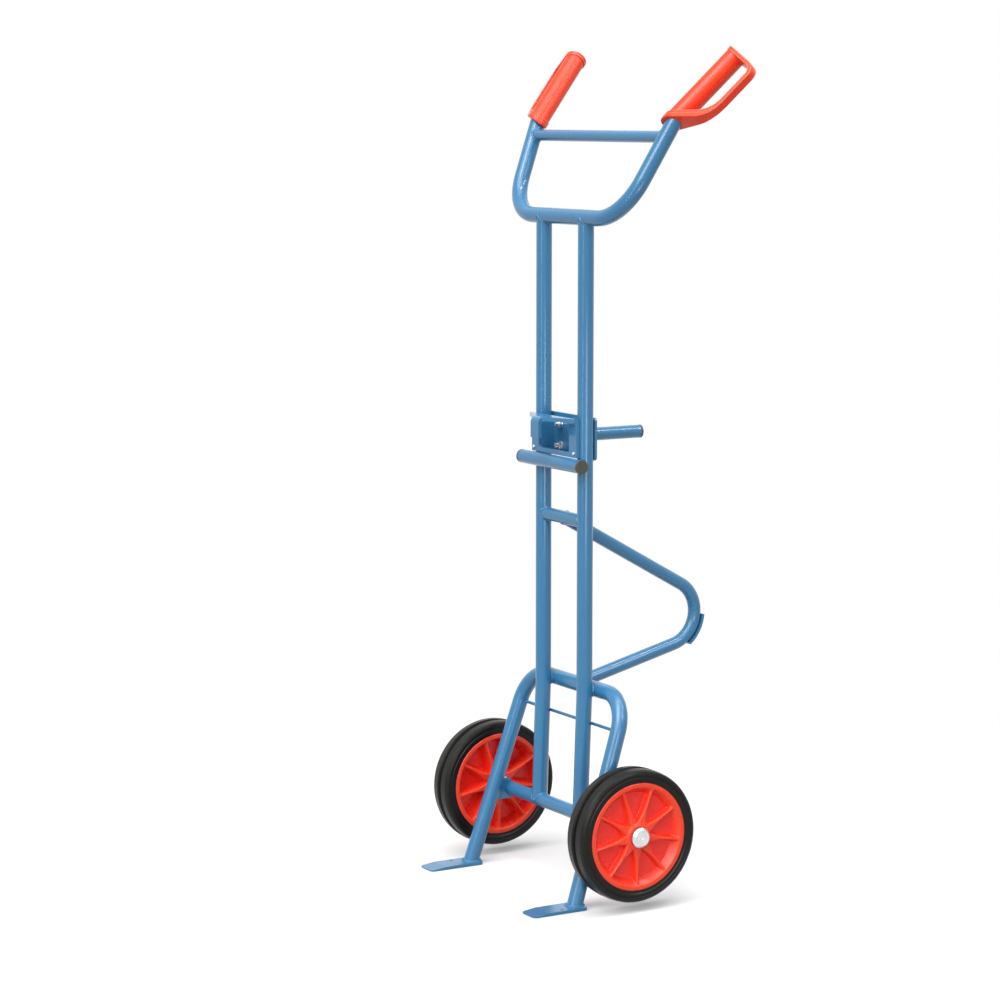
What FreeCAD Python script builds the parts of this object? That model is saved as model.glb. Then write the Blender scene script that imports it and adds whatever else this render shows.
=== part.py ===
import FreeCAD, Part
import math
import os
from FreeCAD import Vector

# A two-wheeled hand trolley of welded steel tube for one upright steel barrel.
# Lengths are in millimetres and angles in degrees, with +Z up and the load on the -Y side.
# Sizes are measured from the plane of the two uprights, y growing to the rear.
# When a piece is saved it moves so that the origin lies under the middle of the whole object.

# Clearances
overrun = 5.0
weld_gap = 0.1
running_gap = 0.05
slide_gap = 0.4

# Uprights
main_tube_diameter = 30.0
main_tube_wall = 2.5
main_tube_spacing = 150.0
knee_height = 375.0
knee_bend_radius = 200.0

# Axle and its outer tube
axle_diameter = 20.0
axle_forward = 8.0
axle_tube_diameter = 27.0
wheel_lift = 18.0
washer_diameter = 34.0
washer_thickness = 2.0
side_play = 0.3

# Leg bow, toe plates and tie rod
leg_tube_diameter = 30.0
leg_tube_wall = 2.5
leg_spacing = 350.0
leg_bar_height = 380.0
leg_bend_radius = 68.0
leg_splay = 19.0
bracket_span = 40.0
bracket_height = 40.0
bracket_thickness = 6.0
toe_width = 48.0
toe_length = 118.0
toe_thickness = 6.0
toe_tip_thickness = 2.0
toe_bevel_length = 32.0
toe_heel = 2.0
toe_corner_radius = 9.0
toe_hole_diameter = 6.0
toe_hole_inset = 9.0
toe_hole_ahead = 20.0
tie_rod_diameter = 6.0
tie_rod_height = 317.0

# Cross tube and the rear rest bow with its wear plate
cross_tube_diameter = 25.0
cross_tube_wall = 2.0
cross_tube_drop = 108.0
bow_tube_diameter = 25.0
bow_tube_wall = 2.0
bow_corner_reach = 406.0
bow_corner_height = 476.0
bow_bend_radius = 64.0
wear_plate_width = 22.0
wear_plate_thickness = 4.5
wear_plate_top_angle = -5.0
wear_plate_sweep = 48.0

# Load rest tube
rest_tube_diameter = 26.0
rest_tube_wall = 2.0
rest_tube_length = 210.0
rest_tube_height = 811.0
plug_rim_thickness = 4.0
plug_depth = 14.0

# Handle bow and brace
handle_tube_diameter = 30.0
handle_tube_wall = 2.5
handle_bar_height = 1271.0
handle_bar_width = 392.0
handle_leg_rise = 178.0
handle_leg_back = 85.5
handle_leg_out = 43.5
handle_bend_radius = 100.0
grip_run_rise = 114.0
grip_run_back = 105.5
grip_run_out = 37.5
grip_bend_radius = 60.0
brace_diameter = 22.0
brace_wall = 2.0
brace_rise = 149.0

# Grips with hand guards
grip_length = 167.5
grip_diameter = 39.0
grip_gap = 0.1
cuff_diameter = 42.0
guard_reach = 72.5
guard_thickness = 8.5
guard_width = 15.0
guard_corner_radius = 24.0
guard_shoulder_drop = 7.5
guard_root_radius = 50.0
guard_heel_radius = 60.0
guard_turn = 13.0
guard_round = 2.0
guard_heel_share = -0.134
guard_elbow_share = 0.222
guard_crotch_share = 0.298
cuff_top_share = -0.04
clear_angle = 35.0

# Sliding claw
claw_height = 74.0
claw_plate_thickness = 8.0
claw_side_margin = 5.0
claw_corner_radius = 8.0
claw_bend_radius = 4.0
finger_reach = 66.0
finger_width = 28.0
finger_drop = 40.0
tongue_shoulder = 5.0
window_foot = 9.0
window_head = 11.0
guide_gap = 1.0
guide_wall = 4.0
guide_margin = 4.0
rear_plate_height = 81.0
rear_plate_thickness = 5.0
rear_plate_margin = 9.0
rivet_diameter = 7.0
rivet_head = 2.5
rivet_inset = 8.0
peg_diameter = 25.0
peg_wall = 2.0
peg_length = 146.0
screw_diameter = 8.0
screw_head_diameter = 16.0
screw_head_depth = 4.0
screw_socket_width = 5.0
screw_socket_depth = 2.5
screw_end = 6.0
screw_spread = 60.0
screw_rise = 40.0
nut_width = 13.0
nut_thickness = 6.5
screw_washer_diameter = 16.0
screw_washer_thickness = 1.6

# Wheels
wheel_diameter = 250.0
wheel_beside_foot = 58.5
tyre_depth = 24.5
tyre_width = 55.0
tyre_shoulder = 7.0
tyre_crown = 1.0
tyre_ring_width = 1.6
tyre_ring_depth = 1.0
tyre_bead_height = 7.0
tyre_bead_step = 2.0
tread_groove_width = 14.0
tread_groove_floor = 9.0
tread_groove_depth = 6.0
rim_width = 53.0
rim_lip = 8.0
rim_key_height = 3.0
rim_key_width = 16.0
rim_dish_depth = 14.0
rim_dish_run = 11.0
rim_web = 7.0
rib_count = 9
rib_root_width = 20.0
rib_width = 5.4
rib_tip_width = 12.0
rib_neck_shares = (0.55, 0.82)
rib_bend_shares = (1.0, 0.4)
rib_setback = 2.0
hub_diameter = 50.0
hub_length = 58.0
roller_diameter = 4.4
roller_length = 40.0
roller_count = 8
cage_wall = 2.9
cage_length = 50.0
cage_gap = 0.25
cap_diameter = 38.0
cap_wall = 1.2
cap_face_diameter = 30.0
cap_dimple_diameter = 4.0
cap_dimple_depth = 0.8
cap_rim_height = 4.0
cap_sleeve_wall = 1.5
cap_sleeve_depth = 6.0

# Places worked out from the sizes above
x_axis = Vector(1, 0, 0)
z_axis = Vector(0, 0, 1)
main_x = main_tube_spacing / 2
main_radius = main_tube_diameter / 2
leg_x = leg_spacing / 2
leg_radius = leg_tube_diameter / 2
axle_radius = axle_diameter / 2
axle_y = -axle_forward
axle_height = wheel_diameter / 2 + wheel_lift
axle_point = Vector(0, axle_y, axle_height)

leg_bar_y = main_radius + leg_radius + weld_gap
leg_bar_point = Vector(0, leg_bar_y, leg_bar_height)
axle_share = axle_height / leg_bar_height
foot_y = (axle_y - bracket_span - leg_bar_y * axle_share) / (1 - axle_share)
foot_x = leg_x + leg_splay
leg_lean = math.atan2(leg_bar_y - foot_y, leg_bar_height)
toe_rear = foot_y + leg_radius / math.cos(leg_lean) + toe_heel
toe_front = toe_rear - toe_length

main_lean = math.atan2(axle_forward, knee_height - axle_height)
tie_rod_y = (tie_rod_diameter / 2 + weld_gap + main_radius / math.cos(main_lean)
             - (knee_height - tie_rod_height) * math.tan(main_lean))

cross_tube_height = rest_tube_height - cross_tube_drop
rest_tube_y = -(main_radius + rest_tube_diameter / 2 + weld_gap)
claw_foot = rest_tube_height + rest_tube_diameter / 2 + slide_gap
claw_head = claw_foot + claw_height
claw_rear = -(main_radius + slide_gap)
rear_plate_front = main_radius + slide_gap
rear_plate_middle = claw_head - rear_plate_height / 2
guide_half = main_x - main_radius - guide_gap

wheel_x = foot_x + wheel_beside_foot
hub_outer = wheel_x + hub_length / 2
hub_inner = wheel_x - hub_length / 2
rim_radius = wheel_diameter / 2 - tyre_depth
axle_tube_half = hub_inner - washer_thickness - side_play * 2
bearing_radius = axle_radius + running_gap + roller_diameter / 2
hub_bore = bearing_radius + roller_diameter / 2 + running_gap
cap_seat = hub_outer + side_play + washer_thickness


def bent_wire(points, radii):
    """Straight runs through the points, with a tangent arc of its own radius at each inner point."""
    edges = []
    start = points[0]
    for before, corner, after, radius in zip(points, points[1:], points[2:], radii):
        back = (before - corner).normalize()
        ahead = (after - corner).normalize()
        half = back.getAngle(ahead) / 2
        reach = radius / math.tan(half)
        bisector = (back + ahead).normalize()
        middle = corner + bisector * (radius / math.sin(half) - radius)
        edges.append(Part.LineSegment(start, corner + back * reach).toShape())
        edges.append(Part.Arc(corner + back * reach, middle, corner + ahead * reach).toShape())
        start = corner + ahead * reach
    edges.append(Part.LineSegment(start, points[-1]).toShape())
    return Part.Wire(edges)


def rod(wire, radius):
    """A round bar of the radius along a wire."""
    first = wire.OrderedEdges[0]
    start = wire.OrderedVertexes[0].Point
    circle = Part.makeCircle(radius, start, first.tangentAt(first.FirstParameter))
    return wire.makePipeShell([Part.Wire(circle)], True, False)


def tube(wire, diameter, wall):
    """A round tube along a wire."""
    return rod(wire, diameter / 2).cut(rod(wire, diameter / 2 - wall))


def prism(points, direction):
    """A straight solid on a flat outline of points."""
    return Part.Face(Part.makePolygon(points + points[:1])).extrude(direction)


def turned(outline, centre):
    """A solid turned about the X line through the centre; each outline point is (x, radius)."""
    points = [centre + Vector(x, 0, r) for x, r in outline]
    face = Part.Face(Part.makePolygon(points + points[:1]))
    return face.revolve(centre, x_axis, 360)


def drilled(radius, start, direction, length):
    """A cylinder used for bores, holes and pins."""
    return Part.makeCylinder(radius, length, start, direction)


def mirrored(shape):
    """The same piece on the other side."""
    return shape.mirror(Vector(0, 0, 0), x_axis)


def lateral_wire(half_length, y, z):
    """A straight line from right to left at one height."""
    return Part.Wire(Part.LineSegment(Vector(-half_length, y, z), Vector(half_length, y, z)).toShape())


def main_tube_wire():
    """The left upright: plumb to the knee, then leaning forward down to the axle."""
    top = Vector(main_x, 0, handle_bar_height)
    knee = Vector(main_x, 0, knee_height)
    foot = Vector(main_x, axle_y, axle_height)
    return bent_wire([top, knee, foot], [knee_bend_radius])


def leg_side_points(side):
    """Corner of the leg bow on one side, and a point below its foot."""
    corner = leg_bar_point + x_axis * side * leg_x
    foot = Vector(side * foot_x, foot_y, 0)
    return [corner, foot + (foot - corner).normalize() * leg_tube_diameter]


def leg_bow_wire():
    """The leg bow: one bar behind the uprights, bent down into a leaning leg at each side."""
    right = leg_side_points(-1)
    left = leg_side_points(1)
    return bent_wire(right[::-1] + left, [leg_bend_radius] * 2)


def handle_side_points(side):
    """Crossbar corner, grip bend and tube end of the handle on one side."""
    corner = Vector(side * handle_bar_width / 2, 0, handle_bar_height)
    bend = corner + Vector(side * handle_leg_out, handle_leg_back, handle_leg_rise)
    end = bend + Vector(side * grip_run_out, grip_run_back, grip_run_rise)
    return [corner, bend, end]


def handle_wire():
    """The handle bow from one grip end round to the other."""
    right = handle_side_points(-1)
    left = handle_side_points(1)
    radii = [grip_bend_radius, handle_bend_radius, handle_bend_radius, grip_bend_radius]
    return bent_wire(right[::-1] + left, radii)


def rest_bow_points():
    """Upper root, rear corner and lower root of the rear rest bow."""
    return [Vector(0, 0, cross_tube_height), Vector(0, bow_corner_reach, bow_corner_height), leg_bar_point]


def rest_bow_centre():
    """Centre of the rest bow's rear bend."""
    upper, corner, lower = rest_bow_points()
    to_upper = (upper - corner).normalize()
    to_lower = (lower - corner).normalize()
    half = to_upper.getAngle(to_lower) / 2
    return corner + (to_upper + to_lower).normalize() * (bow_bend_radius / math.sin(half))


wear_plate_inner = bow_bend_radius + bow_tube_diameter / 2 + weld_gap
wear_plate_outer = wear_plate_inner + wear_plate_thickness
rear_reach = rest_bow_centre().y + wear_plate_outer * math.cos(math.radians(wear_plate_top_angle))
plane_y = -(rear_reach + toe_front) / 2

main_bar = rod(main_tube_wire(), main_radius + weld_gap)
main_bars = main_bar.fuse(mirrored(main_bar))
handle_bar = rod(handle_wire(), handle_tube_diameter / 2 + weld_gap)
leg_bar = rod(leg_bow_wire(), leg_radius + weld_gap)
cross_wire = lateral_wire(main_x, 0, cross_tube_height)
axle_wire = lateral_wire(axle_tube_half, axle_y, axle_height)


def main_tube():
    """Left upright, notched under the handle bar and over the axle tube."""
    bar = tube(main_tube_wire(), main_tube_diameter, main_tube_wall)
    return bar.cut(handle_bar).cut(rod(axle_wire, axle_tube_diameter / 2 + weld_gap))


def handle_bow():
    """Handle tube with a bar across the top of the uprights and two grip ends."""
    return tube(handle_wire(), handle_tube_diameter, handle_tube_wall)


def handle_brace():
    """Thin tube between the handle's sides, notched to fit them."""
    share = brace_rise / handle_leg_rise
    half = handle_bar_width / 2 + share * handle_leg_out
    wire = lateral_wire(half, share * handle_leg_back, handle_bar_height + brace_rise)
    return tube(wire, brace_diameter, brace_wall).cut(handle_bar)


def guard_foot():
    """Ends of the sloping underside that the tube comes out of; u points away from the sleeve, w along it."""
    edge = cuff_diameter / 2 + overrun
    heel = Vector(-edge, 0, guard_heel_share * grip_length)
    return heel, Vector(guard_reach, 0, guard_elbow_share * grip_length)


def guard_outline():
    """Side outline of cuff, hand guard and end flange, drawn in u and w."""
    heel, elbow = guard_foot()
    edge = -heel.x
    inner = guard_reach - guard_thickness
    slope = guard_shoulder_drop / guard_reach
    under = grip_length - guard_thickness
    crotch = Vector(inner, 0, guard_crotch_share * grip_length)
    shoulder = Vector(guard_reach, 0, grip_length - slope * guard_reach)
    armpit = Vector(inner, 0, under - slope * inner)
    far_top = Vector(-edge, 0, grip_length + slope * edge)
    far_under = Vector(-edge, 0, under + slope * edge)
    far_cuff = Vector(-edge, 0, cuff_top_share * grip_length)
    outer = bent_wire([heel, elbow, shoulder, far_top], [guard_heel_radius, guard_corner_radius])
    inside = bent_wire([far_under, armpit, crotch, far_cuff],
                       [guard_corner_radius - guard_thickness, guard_root_radius])
    ends = [far_top, far_under]
    closing = [far_cuff, heel]
    edges = outer.Edges + inside.Edges + Part.makePolygon(ends).Edges + Part.makePolygon(closing).Edges
    return Part.Face(Part.Wire(Part.__sortEdges__(edges)))


def guard_plan():
    """Outline of the grip seen along the sleeve: a round cuff whose sides run straight on to the guard."""
    radius = cuff_diameter / 2
    end = Vector(guard_reach, guard_width / 2, 0)
    turn = math.atan2(end.y, end.x) + math.acos(radius / end.Length)
    side = Vector(radius * math.cos(turn), radius * math.sin(turn), 0)
    tip = end + (end - side).normalize() * overrun
    flip = [Vector(p.x, -p.y, 0) for p in (tip, side)]
    round_end = Part.Arc(side, Vector(-radius, 0, 0), flip[1]).toShape()
    sides = Part.makePolygon([flip[1], flip[0], tip, side])
    return Part.Face(Part.Wire([round_end] + sides.Edges))


def sharp_edges(shape):
    """Edges where two faces meet at a clear angle."""
    found = []
    for edge in shape.Edges:
        middle = edge.valueAt((edge.FirstParameter + edge.LastParameter) / 2)
        faces = shape.ancestorsOfType(edge, Part.Face)
        normals = [face.normalAt(*face.Surface.parameter(middle)) for face in faces]
        if normals[0].getAngle(normals[-1]) > math.radians(clear_angle):
            found.append(edge)
    return found


def grip():
    """Left moulded grip: sleeve with closed end, flared cuff and a guard round the knuckles."""
    bend, end = handle_side_points(1)[1:]
    along = (end - bend).normalize()
    outward = (x_axis - along * x_axis.dot(along)).normalize()
    turn = math.radians(guard_turn)
    guard_way = outward * math.cos(turn) + along.cross(outward) * math.sin(turn)
    across = along.cross(guard_way)
    place = FreeCAD.Matrix(guard_way.x, across.x, along.x, bend.x,
                           guard_way.y, across.y, along.y, bend.y,
                           guard_way.z, across.z, along.z, bend.z,
                           0, 0, 0, 1)
    slab = guard_outline()
    slab.translate(Vector(0, -cuff_diameter, 0))
    band = slab.extrude(Vector(0, cuff_diameter * 2, 0))
    plan = guard_plan()
    plan.translate(Vector(0, 0, -grip_length))
    body = band.common(plan.extrude(Vector(0, 0, grip_length * 3)))
    body = body.makeFillet(guard_round, sharp_edges(body))
    heel, elbow = guard_foot()
    rise = (elbow - heel).normalize()
    down = Vector(rise.z, 0, -rise.x)
    sleeve_foot = Vector(0, 0, heel.z)
    sleeve_length = grip_length - guard_thickness / 2 - heel.z
    sleeve = drilled(grip_diameter / 2, sleeve_foot, z_axis, sleeve_length)
    sleeve = sleeve.cut(drilled(guard_reach * 2, heel - down * (guard_thickness / 2), down, grip_length))
    shape = body.fuse(sleeve).removeSplitter().transformGeometry(place)
    return shape.cut(rod(handle_wire(), handle_tube_diameter / 2 + grip_gap))


def rest_tube():
    """Short tube across the front of the uprights that the load leans on."""
    return tube(lateral_wire(rest_tube_length / 2, rest_tube_y, rest_tube_height),
                rest_tube_diameter, rest_tube_wall)


def end_plug(mouth, direction, outer, bore):
    """Moulded plug: a rim on the tube's end and a spigot inside it."""
    rim = drilled(outer, mouth, direction, plug_rim_thickness)
    spigot = drilled(bore - running_gap, mouth, -direction, plug_depth)
    return rim.fuse(spigot).removeSplitter()


def rest_tube_plug():
    """Left plug of the load rest tube."""
    mouth = Vector(rest_tube_length / 2, rest_tube_y, rest_tube_height)
    return end_plug(mouth, x_axis, rest_tube_diameter / 2, rest_tube_diameter / 2 - rest_tube_wall)


def upper_cross_tube():
    """Tube between the uprights that carries the rest bow's upper end."""
    return tube(cross_wire, cross_tube_diameter, cross_tube_wall).cut(main_bars)


def rest_bow():
    """Rear bow that the trolley lies back on, notched at both roots."""
    bow = tube(bent_wire(rest_bow_points(), [bow_bend_radius]), bow_tube_diameter, bow_tube_wall)
    return bow.cut(rod(cross_wire, cross_tube_diameter / 2 + weld_gap)).cut(leg_bar)


def wear_plate():
    """Flat strip bent round the low outside of the rest bow's bend."""
    centre = rest_bow_centre()
    half = wear_plate_width / 2
    inner = centre.y + wear_plate_inner
    outer = inner + wear_plate_thickness
    corners = [Vector(-half, inner, centre.z), Vector(half, inner, centre.z),
               Vector(half, outer, centre.z), Vector(-half, outer, centre.z)]
    face = Part.Face(Part.makePolygon(corners + corners[:1]))
    face.rotate(centre, x_axis, wear_plate_top_angle - wear_plate_sweep)
    return face.revolve(centre, x_axis, wear_plate_sweep)


def leg_bow():
    """Leg tube, cut level where it stands on the toe plates."""
    bow = tube(leg_bow_wire(), leg_tube_diameter, leg_tube_wall)
    depth = leg_tube_diameter * 2
    width = leg_spacing + (leg_splay + depth) * 2
    below = Part.makeBox(width, depth * 2, depth, Vector(-width / 2, foot_y - depth, toe_thickness - depth))
    return bow.cut(below)


def toe_plate():
    """Left toe plate, bevelled at its tip to slip under the load."""
    side = [Vector(0, toe_rear, 0), Vector(0, toe_rear, toe_thickness),
            Vector(0, toe_front + toe_bevel_length, toe_thickness),
            Vector(0, toe_front, toe_tip_thickness), Vector(0, toe_front, 0)]
    blade = prism(side, Vector(toe_width, 0, 0))
    blank = Part.makeBox(toe_width, toe_length, toe_thickness, Vector(0, toe_front, 0))
    upright = [edge for edge in blank.Edges if edge.BoundBox.ZLength > toe_thickness / 2]
    blade = blade.common(blank.makeFillet(toe_corner_radius, upright))
    hole = Vector(toe_width - toe_hole_inset, foot_y - leg_radius - toe_hole_ahead, -overrun)
    blade = blade.cut(drilled(toe_hole_diameter / 2, hole, z_axis, toe_thickness + overrun * 2))
    blade.translate(Vector(foot_x - toe_width / 2, 0, 0))
    return blade


def tie_rod():
    """Thin bar between the legs, touching the uprights from behind."""
    return rod(lateral_wire(leg_x, tie_rod_y, tie_rod_height), tie_rod_diameter / 2).cut(leg_bar)


def axle_tube():
    """Tube round the axle, welded to the uprights and to the back of the legs."""
    return rod(axle_wire, axle_tube_diameter / 2).cut(rod(axle_wire, axle_radius + running_gap))


def axle_bracket():
    """Left plate that joins the axle tube to the back of the leg."""
    middle = leg_x + leg_splay * (1 - axle_share)
    corner = Vector(middle - bracket_thickness / 2, axle_y - bracket_span, axle_height - bracket_height / 2)
    plate = Part.makeBox(bracket_thickness, bracket_span, bracket_height, corner)
    return plate.cut(leg_bar).cut(rod(axle_wire, axle_tube_diameter / 2 + weld_gap))


def axle():
    """Round bar through the axle tube, long enough for both wheels."""
    half = cap_seat + cap_sleeve_depth
    return rod(lateral_wire(half, axle_y, axle_height), axle_radius)


def washer_pair(start):
    """The same washer on both ends of the axle, given by its inner face."""
    centre = axle_point + x_axis * start
    ring = drilled(washer_diameter / 2, centre, x_axis, washer_thickness)
    ring = ring.cut(drilled(axle_radius + running_gap, centre, x_axis, washer_thickness))
    return Part.makeCompound([ring, mirrored(ring)])


def hub_cap():
    """Left pressed cap: a flat face over the axle end with a dimple, and a sleeve that grips the axle."""
    outer = cap_diameter / 2
    grip_bore = axle_radius + running_gap
    floor = cap_sleeve_depth + cap_wall
    face = floor + cap_dimple_depth
    dimple = cap_dimple_diameter / 2
    neck = grip_bore + cap_sleeve_wall
    outline = [(0, grip_bore), (cap_sleeve_depth, grip_bore), (cap_sleeve_depth, 0), (floor, 0),
               (floor, dimple / 2), (face, dimple), (face, cap_face_diameter / 2),
               (cap_rim_height, outer), (0, outer), (0, outer - cap_wall),
               (cap_rim_height - cap_wall, outer - cap_wall), (cap_sleeve_depth, neck), (0, neck)]
    return turned(outline, axle_point + x_axis * cap_seat)


def claw_hook():
    """Front plate of the claw, bent forward into a tongue that ends in a downward finger."""
    thick = claw_plate_thickness
    front = claw_rear - thick
    half = main_x + claw_side_margin
    tip = -finger_reach
    inner = claw_bend_radius
    middle = thick / 2
    top = claw_head - middle
    route = [Vector(0, claw_rear - middle, claw_foot), Vector(0, claw_rear - middle, top),
             Vector(0, tip + middle, top), Vector(0, tip + middle, claw_head - finger_drop)]
    wire = bent_wire(route, [inner + middle] * 2)
    section = [Vector(-half, front, claw_foot), Vector(half, front, claw_foot),
               Vector(half, claw_rear, claw_foot), Vector(-half, claw_rear, claw_foot)]
    strip = wire.makePipeShell([Part.makePolygon(section + section[:1])], True, False)
    shoulder = front - tongue_shoulder
    root = tip + thick
    plan = [(half, claw_rear + overrun), (half, shoulder), (finger_width / 2, root),
            (finger_width / 2, tip - overrun)]
    plan = plan + [(-x, y) for x, y in reversed(plan)]
    outline = [Vector(x, y, claw_foot - overrun) for x, y in plan]
    hook = strip.common(prism(outline, z_axis * (claw_height + overrun * 2)))
    opening = guide_half - guide_wall
    window = Part.makeBox(opening * 2, thick + overrun, claw_height - window_foot - window_head,
                          Vector(-opening, front - overrun / 2, claw_foot + window_foot))
    corners = [edge for edge in window.Edges if edge.BoundBox.YLength > thick]
    hook = hook.cut(window.makeFillet(claw_bend_radius, corners))
    return hook.cut(rivets(0))


def rivets(head):
    """Domed rivets in the lower corners of the claw plate; the head stands out in front."""
    x = main_x + claw_side_margin - rivet_inset
    radius = rivet_diameter / 2
    places = [Vector(side * x, claw_rear, claw_foot + rivet_inset) for side in (-1, 1)]
    pins = [drilled(radius, place, Vector(0, -1, 0), claw_plate_thickness + head) for place in places]
    return Part.makeCompound(pins)


def claw_rivets():
    """The rivets themselves, with their edges rounded."""
    pins = []
    for pin in rivets(rivet_head).Solids:
        front = min(pin.Edges, key=lambda edge: edge.CenterOfMass.y)
        pins.append(pin.makeFillet(rivet_head / 2, [front]))
    return Part.makeCompound(pins)


def screw_places():
    """The four points where the claw's screws come out of the rear plate."""
    rear = rear_plate_front + rear_plate_thickness
    return [Vector(x * screw_spread / 2, rear, rear_plate_middle + z * screw_rise / 2)
            for x in (-1, 1) for z in (-1, 1)]


def screw_blank(place, gap):
    """A countersunk screw's outside, with a gap all round when it is used as a hole."""
    ahead = Vector(0, -1, 0)
    length = (rear_plate_thickness + guide_wall + screw_washer_thickness + nut_thickness + screw_end)
    shank_radius = screw_diameter / 2 + gap
    shank = drilled(shank_radius, place, ahead, length)
    head = Part.makeCone(screw_head_diameter / 2 + gap, shank_radius, screw_head_depth, place, ahead)
    return shank.fuse(head).removeSplitter()


def screw_holes():
    """Clearance for all four screws."""
    return Part.makeCompound([screw_blank(place, running_gap) for place in screw_places()])


def hexagon(width, place, length):
    """A six-sided bar that runs forward from a place."""
    corner = width / math.sqrt(3)
    turns = [math.radians(60 * step) for step in range(6)]
    points = [place + Vector(corner * math.cos(turn), 0, corner * math.sin(turn)) for turn in turns]
    return prism(points, Vector(0, -length, 0))


def claw_screws():
    """Countersunk screws with hexagon sockets."""
    screws = []
    for place in screw_places():
        screws.append(screw_blank(place, 0).cut(hexagon(screw_socket_width, place, screw_socket_depth)))
    return Part.makeCompound(screws)


def claw_washers():
    """A washer on each screw inside the guide box."""
    rings = []
    for place in screw_places():
        start = Vector(place.x, rear_plate_front - guide_wall, place.z)
        ring = drilled(screw_washer_diameter / 2, start, Vector(0, -1, 0), screw_washer_thickness)
        rings.append(ring.cut(screw_blank(place, running_gap)))
    return Part.makeCompound(rings)


def claw_nuts():
    """A hexagon nut on each washer."""
    nuts = []
    for place in screw_places():
        start = Vector(place.x, rear_plate_front - guide_wall - screw_washer_thickness, place.z)
        nuts.append(hexagon(nut_width, start, nut_thickness).cut(screw_blank(place, running_gap)))
    return Part.makeCompound(nuts)


def claw_guide_box():
    """Folded channel that guides the claw between the uprights and joins its two plates."""
    depth = rear_plate_front - claw_rear
    foot = claw_foot + guide_margin
    height = claw_height - guide_margin - claw_plate_thickness - claw_bend_radius
    block = Part.makeBox(guide_half * 2, depth, height, Vector(-guide_half, claw_rear, foot))
    opening = guide_half - guide_wall
    hollow = Part.makeBox(opening * 2, depth - guide_wall + overrun, height + overrun * 2,
                          Vector(-opening, claw_rear - overrun, foot - overrun))
    return block.cut(hollow).cut(screw_holes())


def claw_rear_plate():
    """Flat plate behind the uprights, with rounded corners."""
    half = main_x + rear_plate_margin
    plate = Part.makeBox(half * 2, rear_plate_thickness, rear_plate_height,
                         Vector(-half, rear_plate_front, claw_head - rear_plate_height))
    corners = [edge for edge in plate.Edges if edge.BoundBox.YLength > rear_plate_thickness / 2]
    return plate.makeFillet(claw_corner_radius, corners).cut(screw_holes())


def peg_start():
    """Middle of the peg where it stands on the rear plate."""
    return Vector(0, rear_plate_front + rear_plate_thickness, rear_plate_middle)


def claw_peg():
    """Tube peg that the claw is lifted by."""
    ends = [peg_start(), peg_start() + Vector(0, peg_length, 0)]
    return tube(Part.Wire(Part.LineSegment(*ends).toShape()), peg_diameter, peg_wall)


def claw_peg_plug():
    """Plug in the peg's end."""
    mouth = peg_start() + Vector(0, peg_length, 0)
    return end_plug(mouth, Vector(0, 1, 0), peg_diameter / 2, peg_diameter / 2 - peg_wall)


def tyre():
    """Left solid tyre with a grooved tread and stepped sides, keyed onto the rim."""
    half = tyre_width / 2
    outer = wheel_diameter / 2
    seat = rim_radius + running_gap
    key = seat + rim_key_height
    bead = seat + tyre_bead_height
    shoulder = outer - tyre_shoulder
    bend = tyre_shoulder * (1 - math.sqrt(0.5))
    ring = (shoulder + bead) / 2
    ring_floor = half - tyre_ring_depth
    side = [(tread_groove_floor / 2, outer - tread_groove_depth), (tread_groove_width / 2, outer),
            (half - tyre_shoulder, outer - tyre_crown), (half - bend, outer - tyre_crown - bend),
            (half, shoulder), (half, ring + tyre_ring_width), (ring_floor, ring + tyre_ring_width / 2),
            (ring_floor, ring - tyre_ring_width / 2), (half, ring - tyre_ring_width),
            (half, bead), (half - tyre_bead_step, bead - tyre_bead_step),
            (half - tyre_bead_step, seat), (rim_key_width / 2 + running_gap, seat),
            (rim_key_width / 2 + running_gap, key)]
    outline = side + [(-x, r) for x, r in reversed(side)]
    return turned(outline, axle_point + x_axis * wheel_x)


def rim_outline():
    """Half section of the moulded wheel: lips, dished web, hub and the key that holds the tyre."""
    half = rim_width / 2
    lip = rim_radius - rim_lip
    web = half - rim_dish_depth
    wall = lip - rim_dish_run
    hub = hub_diameter / 2
    long = hub_length / 2
    key = rim_key_width / 2
    top = rim_radius + rim_key_height
    return [(-half, rim_radius), (-key, rim_radius), (-key, top), (key, top), (key, rim_radius),
            (half, rim_radius), (half, lip), (web, wall), (web, hub), (long, hub), (long, hub_bore),
            (-long, hub_bore), (-long, hub), (web - rim_web, hub), (web - rim_web, wall), (-half, lip)]


def rib_blank(centre):
    """One rib, pointing down from the hub: broad at its root, slender, and flared a little at the rim."""
    root = rib_root_width / 2
    inner = math.sqrt((hub_diameter / 2) ** 2 - root ** 2) - rib_setback
    reach = rim_radius - rim_lip - inner
    plan = [(root, inner), (rib_width / 2, inner + rib_neck_shares[0] * reach),
            (rib_width / 2, inner + rib_neck_shares[1] * reach), (rib_tip_width / 2, inner + reach)]
    start = rib_setback - rim_width / 2
    one = [centre + Vector(start, y, -r) for y, r in plan]
    other = [centre + Vector(start, -y, -r) for y, r in plan]
    radii = [share * reach for share in rib_bend_shares]
    sides = [bent_wire(points, radii) for points in (one, other)]
    ends = [Part.LineSegment(one[k], other[k]).toShape() for k in (0, -1)]
    edges = sides[0].Edges + sides[1].Edges + ends
    outline = Part.Wire(Part.__sortEdges__(edges))
    return Part.Face(outline).extrude(x_axis * (rim_width - rib_setback * 2))


def rim():
    """Left moulded wheel with curved ribs on both faces of its web."""
    centre = axle_point + x_axis * wheel_x
    body = turned(rim_outline(), centre)
    ribs = []
    for step in range(rib_count):
        rib = rib_blank(centre)
        rib.rotate(centre, x_axis, 360 / rib_count * step)
        ribs.append(rib)
    return body.fuse(ribs).removeSplitter()


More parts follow.
